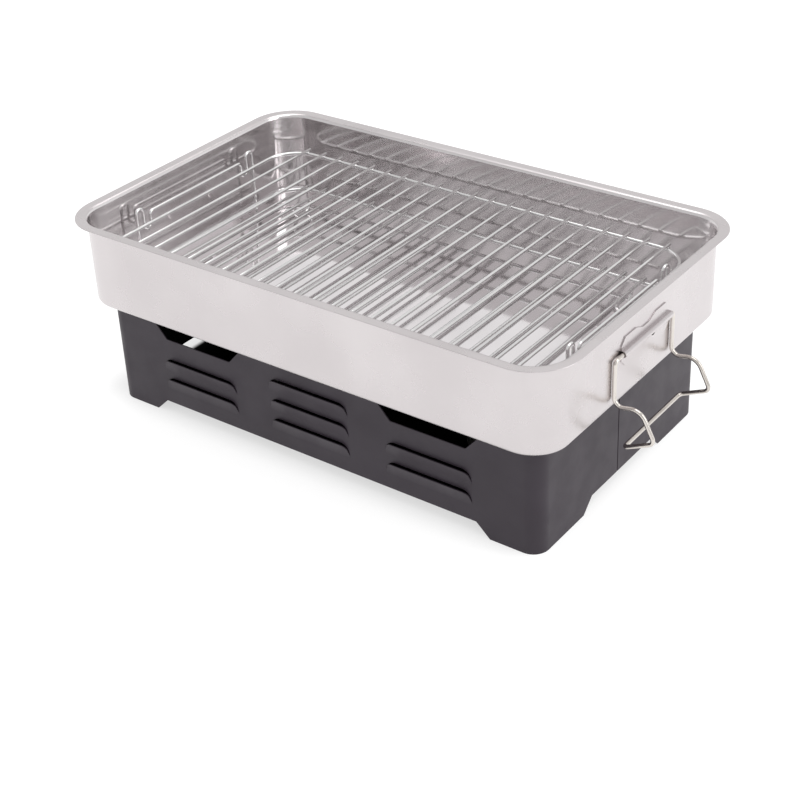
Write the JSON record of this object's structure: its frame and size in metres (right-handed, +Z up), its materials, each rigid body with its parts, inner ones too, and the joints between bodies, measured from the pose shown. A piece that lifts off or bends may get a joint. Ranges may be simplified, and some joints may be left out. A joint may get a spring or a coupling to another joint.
{
  "type": "fish smoker",
  "caption": "Table-top fish smoker: deep rimmed steel pan on a vented sheet-steel stand, with stacked wire grates, swinging wire bails and spirit burners.",
  "frame": {"origin": "on the table, in the middle of the plan", "axes": "+X along the long side to the right, +Y to the rear, +Z up"},
  "size_m": [0.4682, 0.2586, 0.1514],
  "materials": {
    "stand_paint": "satin charcoal paint",
    "pan_steel": "satin outside, bright inside",
    "wire_steel": "bright wire",
    "bail_steel": "bright stainless wire",
    "burner_steel": "satin",
    "wool": "mineral wool",
    "gauze_brass": "woven wire"
  },
  "bodies": {
    "stand": {"stand_front_shell": "stand_paint", "stand_rear_shell": "stand_paint"},
    "pan": {"pan_shell": "pan_steel", "bail_bracket_left": "pan_steel", "bail_bracket_right": "pan_steel"},
    "bail_left": {"bail_left": "bail_steel"},
    "bail_right": {"bail_right": "bail_steel"},
    "lower_grate": {"lower_grate_frame": "wire_steel", "lower_grate_bars": "wire_steel", "lower_grate_feet": "wire_steel"},
    "upper_grate": {"upper_grate_frame": "wire_steel", "upper_grate_bars": "wire_steel", "upper_end_stand_left": "wire_steel", "upper_end_stand_right": "wire_steel"},
    "burner_left": {"burner_left_cup": "burner_steel", "burner_left_wool_pad": "wool", "burner_left_gauze": "gauze_brass", "burner_left_ring": "burner_steel"},
    "burner_right": {"burner_right_cup": "burner_steel", "burner_right_wool_pad": "wool", "burner_right_gauze": "gauze_brass", "burner_right_ring": "burner_steel"}
  },
  "joints": [
    {"name": "pan_lift", "type": "slide", "parent": "stand", "child": "pan", "axis": [0, 0, 1], "range_m": [0, 0.08]},
    {"name": "bail_right_swing", "type": "hinge", "parent": "pan", "child": "bail_right", "pos_m": [0.2037, 0, 0.1205], "axis": [0, -1, 0], "range_deg": [0, 150]},
    {"name": "bail_left_swing", "type": "hinge", "parent": "pan", "child": "bail_left", "pos_m": [-0.2037, 0, 0.1205], "axis": [0, 1, 0], "range_deg": [0, 150]},
    {"name": "lower_grate_lift", "type": "slide", "parent": "pan", "child": "lower_grate", "axis": [0, 0, 1], "range_m": [0, 0.07]},
    {"name": "upper_grate_lift", "type": "slide", "parent": "lower_grate", "child": "upper_grate", "axis": [0, 0, 1], "range_m": [0, 0.07]},
    {"name": "burner_left_lift", "type": "slide", "parent": "stand", "child": "burner_left", "axis": [0, 0, 1], "range_m": [0, 0.04]},
    {"name": "burner_right_lift", "type": "slide", "parent": "stand", "child": "burner_right", "axis": [0, 0, 1], "range_m": [0, 0.04]}
  ]
}
